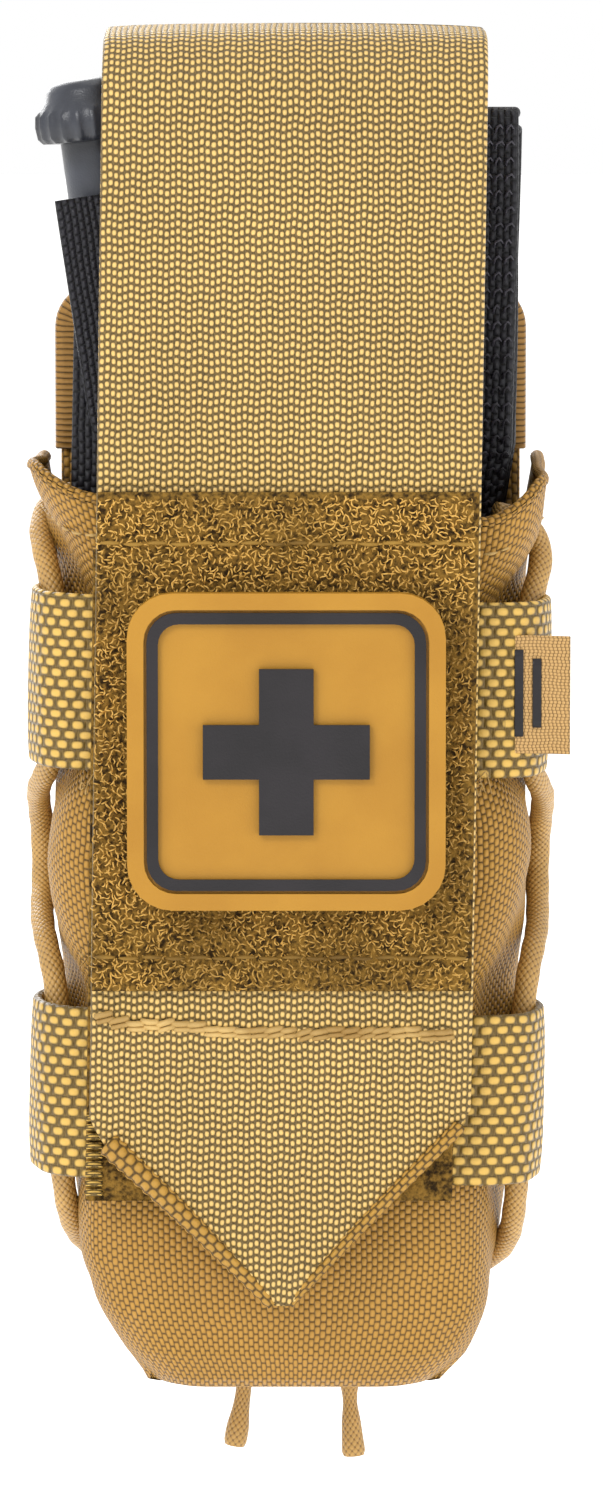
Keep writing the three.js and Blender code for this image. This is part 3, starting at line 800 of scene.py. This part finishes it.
def flap_crown(across, along):
    """Slack of stiff webbing: the middle stands a little proud and the selvages curl back."""
    return 0.35 * (1 - across**2) - 0.2 * abs(across) ** 8 + 0.07 * math.sin(along * 0.11 + across * 2)


whole_flap = flap_curve()
split = int(np.argmin(np.abs(whole_flap[:, 1] + 20) + np.where(whole_flap[:, 2] > 170, 0, 99)))


def flap_edges(h):
    """The flap's left and right edges at a height: straight, then in to the folded point."""
    left = np.interp(h, [10.6, 31.8, 34.6, 36.0, 200], [-2.2, -24.5, -26.2, -26.75, -26.75])
    right = np.interp(h, [10.6, 34.8, 37.0, 200], [0.2, 22.7, 24.05, 24.05])
    above = np.asarray(h) > 38
    lean_from_tip = lean(h) - lean(36.5)
    return left + np.where(above, lean_from_tip, 0), right + np.where(above, lean_from_tip, 0)


def flap_piece(name, path, v_start, nodes, start, end):
    left, right = flap_edges(path[:, 2])
    path = path * 1.0
    path[:, 0] = (left + right) / 2
    shape = strip(path, (-1, 0, 0), right - left, 1.45, 0.9, 52, flap_crown, 0.9)
    points, faces, uv = shape
    uv[:, 0] = points[:, 0] - lean(points[:, 2]) + 26
    uv[:, 1] += v_start
    piece = build(name, shape, webbing_flap)
    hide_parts(*nodes)
    tuple(to_frame([start])[0])
    tuple(to_frame([end])[0])
    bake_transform(piece)
    return piece


flap_piece(
    "flap_webbing_rear", whole_flap[: split + 1], 0, ("flap_riser", "flap_top"),
    (0, 1.95, 142), (0, 1.95, 154),
)
flap_piece(
    "flap_webbing_front", whole_flap[split:], lengths(whole_flap)[split], ("flap_front", "pull_tab"),
    (0, -46.6, 170), (0, -46.6, 158),
)


def flat_slab(name, low, high, wide, y, material, slot, node):
    """A flat layer sewn to the flap's front, which follows the flap's lean; its face is at y."""
    thickness = 0.9
    path = [(lean(h), y + thickness / 2, h) for h in np.linspace(high, low, 60)]
    add(name, strip(path, (-1, 0, 0), wide, thickness, 1.0, 30), material, "flap_front", slot, node)


flat_slab("flap_hook_layer", 60, 110, 48, -45.5, hook_black, "black_webbing", "flap_hook_tape")
flat_slab("flap_loop_ground", 53.1, 119.4, 50.4, -48.55, loop_ground, "coyote_loop", "flap_loop_panel")


FIBRE_HALF = 0.085  # half the width of a thread in the loop pile


def fibre_loops(name, body, low, high, half, y, spacing, height, fringe):
    """Fuzzy loop pile: a field of small springy arches of thread."""
    points, faces = [], []
    rows = int((high - low) / spacing)
    columns = int(2 * half / spacing)
    segments = 4
    for i in range(columns):
        for j in range(rows):
            x = -half + (i + 0.5 + rng.uniform(-0.5, 0.5)) * spacing
            h = low + (j + 0.5 + rng.uniform(-0.5, 0.5)) * spacing
            heading = rng.uniform(0, 2 * math.pi)
            span = rng.uniform(0.5, 1.1)
            rise = height * rng.uniform(0.45, 1.15)
            if abs(abs(x) - half) < 1 or min(h - low, high - h) < 0.8:
                rise *= fringe
            d = np.array((math.cos(heading), 0, math.sin(heading))) * span
            skew = rng.uniform(-0.3, 0.3)
            base = len(points)
            width = np.array((-d[2], 0, d[0])) / span * FIBRE_HALF
            for s in range(segments + 1):
                t = s / segments
                arch = math.sin(math.pi * t)
                p = np.array((x + lean(h), y, h)) + d * (t - 0.5) + width / FIBRE_HALF * skew * arch
                p[1] -= rise * arch
                points.append(p - width)
                points.append(p + width + np.array((0, -0.05, 0)))
            for s in range(segments):
                a = base + 2 * s
                faces.append((a, a + 1, a + 3, a + 2))
    piece = make(name, np.array(points), faces, loop_thread)
    return placed(piece, body, "coyote_loop")


fibre_loops("flap_loop_pile", "flap_front", 53.4, 119.1, 25.1, -48.9, 0.68, 0.62, 1.3)


def sewn_row(name, body, material, *stitching):
    add(name, stitches(*stitching), material, body, "coyote_webbing")


for name, h in (("upper", 112.7), ("lower", 57.7)):
    row = [(x + lean(h), -49.45, h + 0.12 * math.sin(x)) for x in np.linspace(-24.6, 24.6, 50)]
    sewn_row("flap_panel_seam_" + name, "flap_front", seam_fibre, row, 2.6, 0.5, 0.3, (0, -1, 0), 0.2)


def bar_stitches():
    """The slanting, uneven row of stitches below the loop panel."""
    parts = []
    for x in np.arange(-23.6, 23.4, 2.05):
        h = 49.6 - 2.0 * (1 - math.exp(-(x + 24) / 12)) + rng.uniform(-0.35, 0.35)
        slope = rng.uniform(-0.1, 0.5)
        long = rng.uniform(1.0, 1.35)
        line = [
            (x + lean(h) - long, -47.45, h - slope),
            (x + lean(h), -47.95, h),
            (x + lean(h) + long, -47.45, h + slope * 0.6),
        ]
        parts.append(tube(smooth_path(line, 0.3), 0.42, 7))
        parts.append(tube(smooth_path([(p[0] + 0.3, p[1] + 0.05, p[2] - 0.75) for p in line], 0.3), 0.34, 7))
    add("flap_cross_stitches", together(parts), cord_fibre, "flap_front", "coyote_webbing")


bar_stitches()


# ---- the folded point at the flap's end
def fold_tab():
    """The cloth folded behind the point, and the rolled folds along its two edges."""
    heights = np.linspace(36.5, 12.5, 40)
    left, right = flap_edges(heights)
    left, right = left + 1.2, right - 1.2
    path = np.stack([(left + right) / 2, np.full(len(heights), -46.2), heights], 1)
    behind = strip(path, (-1, 0, 0), right - left, 1.1, 0.9, 24)
    add("pull_tab_fold_behind", behind, webbing_strap, "flap_front", "coyote_webbing")

    for side, start, foot, thick, thin, y in (
        ("left", (-24.3, 32.6), (-2.3, 10.9), 1.7, 0.95, -47.5),
        ("right", (22.7, 35.0), (-0.2, 11.0), 0.95, 0.75, -47.6),
    ):
        line = []
        for t in np.linspace(0, 1, 12):
            x, h = start[0] + (foot[0] - start[0]) * t, start[1] + (foot[1] - start[1]) * t
            line.append((x, y - 0.25 * math.sin(math.pi * t), h + 0.35 * math.sin(math.pi * t)))
        path = smooth_path(line, 0.4)
        along = lengths(path)
        share = along / along[-1]
        twist = 1 + 0.09 * np.sin(along * 2 * math.pi / 1.55)
        radius = (thick + (thin - thick) * share) * twist * np.clip(share * 25 + 0.6, 0, 1) ** 0.5
        add("pull_tab_roll_" + side, tube(path, radius, 14), webbing_roll, "flap_front", "coyote_webbing")


fold_tab()

# ---- patch
bevelled("patch_hook_backing", 0.2, hook_black)
bevelled("patch_base", 0.55, rubber_tan, 4)
bevelled("patch_border", 0.22, rubber_black, 4)
bevelled("patch_emblem", 0.3, rubber_black, 4)


# ---- label at the side
LABEL_ROOT, LABEL_REACH = 24.6, 12.6


def label_face(t):
    """Where the label's cloth is from front to back, t of the way out from its sewn edge."""
    return -43.3 + 0.9 * t + 1.1 * math.sin(3 * t)


def side_label():
    """A folded cloth label that stands out at the pouch's side, with three bars on it."""
    path = [(LABEL_ROOT + LABEL_REACH * t, label_face(t), 92.1 - 0.2 * t) for t in np.linspace(0, 1, 24)]
    piece = build("side_label_cloth", strip(path, (0, 0, 1), 15.8, 0.55, 0.5, 26), label_cloth)
    placed(piece, "pouch", "coyote_webbing", "side_label")
    bars = []
    for x, low, high in ((28.0, 87.6, 96.8), (30.4, 86.4, 98.0), (32.8, 87.6, 96.8)):
        y = label_face((x - LABEL_ROOT) / LABEL_REACH) - 0.42
        bars.append(strip([(x, y, low), (x, y, high)], (1, 0, 0), 1.2, 0.24, 1.0, 6))
    add("side_label_bars", together(bars), rubber_black, "pouch", "patch_black")


side_label()


# ---- back panel
def panel_sheet(name, node, y, thickness, half, low, high, corner, material, slot):
    """A flat sheet with rounded corners and softened edges."""
    outline = []
    centres = (
        (half - corner, high - corner), (-half + corner, high - corner),
        (-half + corner, low + corner), (half - corner, low + corner),
    )
    for turn, (x, z) in enumerate(centres):
        for a in np.radians(np.linspace(90 * turn, 90 * turn + 90, 10)):
            outline.append((x + corner * math.cos(a), z + corner * math.sin(a)))
    outline = resample(np.array([*outline, outline[0]]), 1.6)[:-1]
    # Near the bottom the panel narrows with the pouch.
    widest = level(REAR, outline[:, 1] + 2) + half - 30.9
    outline[:, 0] = np.where(outline[:, 1] < 30, np.clip(outline[:, 0], -widest, widest), outline[:, 0])
    centre = np.array((0, (low + high) / 2))
    rings = []
    r = thickness / 2
    face = [(r, 6.0), (r, 2.5), (r, 0.7), (r * 0.7, 0.2)]
    for lift, inset in (*face, (0, 0), *((-lift, inset) for lift, inset in reversed(face))):
        direction = outline - centre
        scale = 1 - inset / np.maximum(np.abs(direction).max(1, keepdims=True), 8)
        p = centre + direction * scale
        rings.append(np.stack([p[:, 0], np.full(len(p), y + lift), p[:, 1]], 1))
    rings = np.array(rings)
    uv = np.stack([rings[..., 0] + 40, rings[..., 2]], -1)
    points, faces, uvs = swept(rings, uv)
    return placed(make(name, points, faces, material, uvs), "pouch", slot, node)


for layer, y in (("outer", -0.45), ("inner", -3.05)):
    cloth, sheet = f"back_{layer}_cloth", f"back_{layer}_sheet"
    panel_sheet(cloth, sheet, y, 0.9, 31.5, -2.6, 143.9, 6, cordura, "coyote_cordura")
panel_sheet(
    "back_stiffener_sheet", "back_stiffener", -1.75, 1.05, 28.5, 4, 140.9, 5, plastic_sheet, "polymer_sheet"
)
bevelled("side_insert_left", 0.15, plastic_sheet)
bevelled("side_insert_right", 0.15, plastic_sheet)


def edge_tape():
    """Binding tape folded round the upper edge of the back panel."""
    half, low, top, corner = 31.3, 122.2, 143.9, 5
    path = [(half, low)]
    for a in np.radians(np.linspace(0, 90, 12)):
        path.append((half - corner + corner * math.cos(a), top - corner + corner * math.sin(a)))
    path += [(-x, z) for x, z in reversed(path)]
    path = resample(np.array(path), 0.7)
    t = tangents(path)
    out = np.stack([t[:, 1], -t[:, 0]], 1)
    rings, uvs = [], []
    along = lengths(path)
    section = [
        (-6.0, 0.45), (-0.3, 0.62), (0.75, 0.2), (1.05, -1.8), (0.75, -3.8), (-0.3, -4.25), (-6.0, -4.05),
        (-6.0, -3.62), (-0.2, -3.6), (-0.05, -1.8), (-0.2, 0.1), (-6.0, 0.02),
    ]
    for k in range(len(path)):
        rings.append([(path[k][0] + d * out[k][0], y, path[k][1] + d * out[k][1]) for d, y in section])
        uvs.append([(abs(d) + 3, along[k]) for d, y in section])
    piece = build("back_edge_binding", swept(np.array(rings), np.array(uvs)), tape_ribs)
    placed(piece, "pouch", "coyote_webbing", "back_edge_tape")


edge_tape()


# ---- belt straps and their snaps
def belt_strap(name, x):
    """1 in webbing sewn to the pouch's back at its top and snapped to it at its foot."""
    knots = [
        (1.95, 116), (1.95, 111), (1.95, 105.7), (3.4, 101.5), (7.0, 96.5), (8.2, 91), (8.4, 86), (8.5, 72),
        (8.4, 58), (8.2, 52), (7.1, 45.5), (4.6, 40), (3.25, 34), (3.2, 28), (3.15, 19.6),
    ]
    path = smooth_path([(x, y, h) for y, h in knots], 0.8)

    def crown(across, along):
        return 0.12 * (1 - across**2) + 0.05 * math.sin(along * 0.2 + across * 2)

    strap = strip(path, (1, 0, 0), 25.4, 1.5, 0.8, 24, crown, 0.9)
    piece = build("belt_strap_webbing_" + name, strap, webbing_band)
    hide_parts("belt_strap_anchor_" + name, "belt_strap_" + name)
    start, end = to_frame([(x, 1.95, 109.5), (x, 1.95, 102.5)])
    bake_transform(piece)
    foot, top = 108.6, 114.4
    rows = [
        [(x - 10.5, 2.75, left), (x + 10.5, 2.75, right)]
        for left, right in ((foot, foot), (top, top), (foot, top), (top, foot))
    ]
    box_x = together([stitches(row, 2.2, 0.8, 0.28, (0, 1, 0), 0.2) for row in rows])
    add("belt_strap_stitches_" + name, box_x, cord_fibre, "pouch", "coyote_webbing")

    profile = [
        (0.01, -2.0), (1.7, -2.0), (1.7, 0.0), (5.9, 0.0), (6.3, 0.3), (6.3, 0.6), (5.9, 1.0), (5.2, 1.25),
        (3.4, 1.5), (0.01, 1.6),
    ]
    cap = lathe(profile, (x, 4.2, 28), (0, 1, 0), 56)
    add("snap_button_" + name, cap, snap_finish, "belt_strap_" + name, "snap_metal", "snap_cap_" + name)
    bevelled("snap_socket_" + name, 0.2, snap_finish)
    bevelled("snap_stud_" + name, 0.2, snap_finish)


belt_strap("left", -14.5)
belt_strap("right", 14.5)


# ---- tourniquet
LAYERS = 8
LAYER_PITCH = 2.02
STACK = {"front": -21.4, "foot": 12.9, "top": 168.6}
# The stack's left and right sides, by height.
STACK_SIDES = [
    (12, -15, 20), (30, -12, 24.5), (60, -9.5, 27.5), (90, -8.5, 28.7), (112, -8, 28.8), (124, -6.5, 31),
    (169.5, -6, 31.4),
]


def folded_band():
    """The long band, folded up and down into a stack of layers behind the windlass."""
    turn = LAYER_PITCH / 2
    points = []
    for layer in range(LAYERS):
        y = STACK["front"] + layer * LAYER_PITCH
        top = STACK["top"] - (0 if layer < 1 else 1.2 + 1.1 * ((layer + 1) // 2 % 2)) - turn
        foot = STACK["foot"] + turn
        run = np.linspace(foot, top, 60)
        run = run if layer % 2 == 0 else run[::-1]
        points += [(0, y + 0.12 * math.sin(h * 0.11 + layer), h) for h in run]
        if layer < LAYERS - 1:
            end, sign = (top, 1) if layer % 2 == 0 else (foot, -1)
            for a in np.radians((30, 60, 90, 120, 150)):
                points.append((0, y + turn - turn * math.cos(a), end + sign * turn * math.sin(a)))
    path = resample(np.array(points, float), 0.75)
    left, right = (level(STACK_SIDES, path[:, 2], column) for column in (1, 2))
    layer = (path[:, 1] - STACK["front"]) / LAYER_PITCH
    shift = 0.35 * np.sin(layer * 2.3 + 1) + 0.25 * np.sin(path[:, 2] * 0.09 + layer * 1.7)
    path[:, 0] = (left + right) / 2 + (shift - 0.5 * (layer < 0.5))
    band = strip(path, (-1, 0, 0), right - left - 1.2, 1.62, 0.75, 12, None, 0.9)
    add("tourniquet_band_folds", band, black_band, "tourniquet", "black_webbing", "tourniquet_band")


def hook_rows():
    """Rows of small curved hooks on the band's front face."""
    parts = []
    for h in np.arange(100.5, 168.5, 2.2):
        left, right = (level(STACK_SIDES, h, column) for column in (1, 2))
        for x in np.arange(left + 2.2, right - 1.6, 1.45):
            tip = rng.uniform(-0.2, 0.2)
            line = [
                (x - 0.5, -22.1, h - 0.55), (x - 0.3, -22.6, h + 0.2),
                (x + 0.25 + tip, -22.75, h + 0.5), (x + 0.6 + tip, -22.5, h),
            ]
            parts.append(tube(line, [0.24, 0.2, 0.17, 0.1], 5))
    add("tourniquet_band_hooks", together(parts), hook_black, "tourniquet", "black_webbing")


def woven_end():
    """The band's plain end, lying slantwise over the windlass, and the layer behind it."""
    heights = np.linspace(60.5, 160.2, 80)
    left = np.interp(heights, [60, 110, 120, 132, 160], [-14, -19.6, -23.4, -27.4, -31.7])
    right = np.interp(heights, [60, 118, 163], [17, 13.4, 6])
    wide = (right - left) * 0.988
    path = np.stack([(left + right) / 2, -38.05 - 0.2 * np.sin(heights * 0.07), heights], 1)
    side = np.array((0.988, 0, 0.153))

    def crown(across, distance):
        return -0.35 * max(0, distance - 95) / 6 * abs(across) + 0.1 * math.sin(distance * 0.2 + across * 3)

    end = strip(path, side, wide, 1.0, 0.8, 34, crown, 0.9)
    add("tourniquet_end_webbing", end, black_woven, "tourniquet", "black_webbing", "tourniquet_woven_end")
    path = [(-10.6 + 0.02 * (h - 110), -36.5, h) for h in np.linspace(115.5, 144, 50)]
    lining = strip(path, (1, 0, 0), 37.6, 0.8, 0.9, 30, None, 0.9)
    add("tourniquet_end_lining", lining, black_band, "tourniquet", "black_webbing")


def windlass():
    """The windlass rod: a slotted shaft with a knurled, domed cap at each end."""
    bottom, top = np.array((-9.5, -31, 45.0)), np.array((-27.1, -31, 174.0))
    axis = (top - bottom) / np.linalg.norm(top - bottom)
    across = np.array((axis[2], 0, -axis[0]))
    depth = np.cross(axis, across)
    length = np.linalg.norm(top - bottom)
    middle, half_slot, gap = length / 2, 15.0, 1.7
    radius = 4.75
    parts = []
    for low, high in ((1.5, middle - half_slot), (middle + half_slot, length - 1.5)):
        side = [(radius, z) for z in (low, *np.linspace(low + 1, high - 1, 8), high)]
        profile = [(0.01, low), *side, (0.01, high)]
        parts.append(lathe(profile, bottom, axis, 48))
    for sign in (-1, 1):
        start = math.asin(gap / radius)
        arc = [(math.cos(a), math.sin(a)) for a in np.linspace(-math.pi / 2 + start, math.pi / 2 - start, 22)]
        low, high = middle - half_slot, middle + half_slot
        rings = []
        for z in (low - 0.5, *np.linspace(low, high, 8), high + 0.5):
            rings.append([bottom + axis * z + radius * (sign * a * across + b * depth) for a, b in arc])
        parts.append(swept(np.array(rings), np.zeros((len(rings), 22, 2))))
    add("windlass_shaft", together(parts), plastic_black, "windlass", "black_plastic", "windlass_rod")

    def knurl(r, distance, angle):
        if not 7 < r < 9:
            return np.full(len(angle), r)
        return r - 0.38 * np.abs(np.sin(angle * 11))

    cap = [
        (0.01, -8.6), (4.7, -8.8), (5.4, -8.7), (7.1, -8.5), (7.75, -7.8), (7.9, -6.2), (7.7, -4.8),
        (7.0, -4.1), (6.1, -3.1), (5.7, -1.9), (5.2, -1.1), (4.3, -0.7), (2.2, -0.5), (0.01, -0.45),
    ]
    for name, tip, way in (("upper", top, axis), ("lower", bottom, -axis)):
        turned = lathe(cap, tip, way, 132, knurl)
        add("windlass_cap_" + name, turned, plastic_black, "windlass", "black_plastic")


folded_band()
hook_rows()
woven_end()
windlass()
bevelled("stabiliser_plate", 0.5, plastic_black)
bevelled("windlass_clip", 0.7, plastic_black)
bevelled("tourniquet_buckle", 0.6, plastic_black)
bevelled("time_strap", 0.2, tape_white)
bevelled("pulling_ribbon", 0.2, black_ribbon)


# ---- seams and loose threads
MOUTH_RIGHT = [
    (34.2, -20, 114.0), (33.0, -27, 113.6), (31.4, -33, 112.6), (29.7, -38, 111.7), (27.2, -41.05, 110.8),
    (24.5, -41.3, 110.6),
]
MOUTH_LEFT = [
    (-33.6, -20, 115.6), (-32.8, -27, 115.3), (-31.4, -33, 114.6), (-29.6, -38, 113.6),
    (-27.0, -41.05, 113.2), (-24.5, -41.3, 113.2),
]
for side, seam, out in (("right", MOUTH_RIGHT, 0.3), ("left", MOUTH_LEFT, -0.3)):
    path = smooth_path(seam, 0.4)
    sewn_row("mouth_seam_" + side, "pouch", cord_fibre, path, 2.0, 0.8, 0.22, (out, -0.9, 0), 0.12)


def loose_threads():
    """Short curled ends of thread where the bands are sewn."""
    parts = []
    for x, h in ((-27, 80), (-27, 57), (-25.8, 78.6), (24.6, 80.4)):
        for _ in range(4):
            bend = rng.uniform(-1.6, 1.6, 3)
            line = [
                (x, -43.9, h),
                (x + bend[0] * 0.6, -44.8, h + bend[1] * 0.8),
                (x + bend[0], -44.5, h + bend[1]),
                (x + bend[0] * 1.2 + 0.4, -44.1, h + bend[2]),
            ]
            parts.append(tube(smooth_path(line, 0.3), 0.1, 5))
    add("loose_threads", together(parts), cord_fibre, "pouch", "coyote_webbing")


loose_threads()


# ---- floor and lights
def studio():
    """A white floor and four soft lights in a white world."""
    floor = bpy.data.objects.new("floor", bpy.data.meshes.new("floor"))
    size = 6.0
    level_z = float(to_frame([(0, 0, -34)])[0][2])
    corners = [(-size, -size, level_z), (size, -size, level_z), (size, size, level_z), (-size, size, level_z)]
    floor.data.from_pydata(corners, [], [(0, 1, 2, 3)])
    paper = Shader("paper", 0.9, specular=0.2)
    paper.colour(paper.mix(paper.noise(0.02), srgb("F4F4F2"), srgb("FAFAF9")))
    paper.bsdf.inputs["Emission Color"].default_value = (1, 1, 1, 1)
    paper.bsdf.inputs["Emission Strength"].default_value = 0.4
    floor.data.materials.append(paper.material)
    bpy.context.scene.collection.objects.link(floor)

    def area(name, place, energy, size_m, aim=(0, -0.02, 0.015)):
        data = bpy.data.lights.new(name, "AREA")
        data.energy = energy
        data.size = size_m
        light = bpy.data.objects.new(name, data)
        bpy.context.scene.collection.objects.link(light)
        light.location = place
        light.rotation_euler = (Vector(aim) - Vector(place)).to_track_quat("-Z", "Y").to_euler()

    area("key", (-0.5, -0.8, 0.65), 4.5, 0.3)
    area("fill", (0.7, -0.6, 0.15), 1.0, 0.5)
    area("top", (0.1, 0.1, 0.9), 1.5, 0.5)
    area("rear", (-0.3, 0.9, 0.4), 4.0, 0.5)

    world = bpy.data.worlds.new("world")
    world.use_nodes = True
    world.node_tree.nodes["Background"].inputs["Color"].default_value = (1, 1, 1, 1)
    world.node_tree.nodes["Background"].inputs["Strength"].default_value = 1.0
    bpy.context.scene.world = world
    bpy.context.scene.view_settings.view_transform = "Standard"


studio()
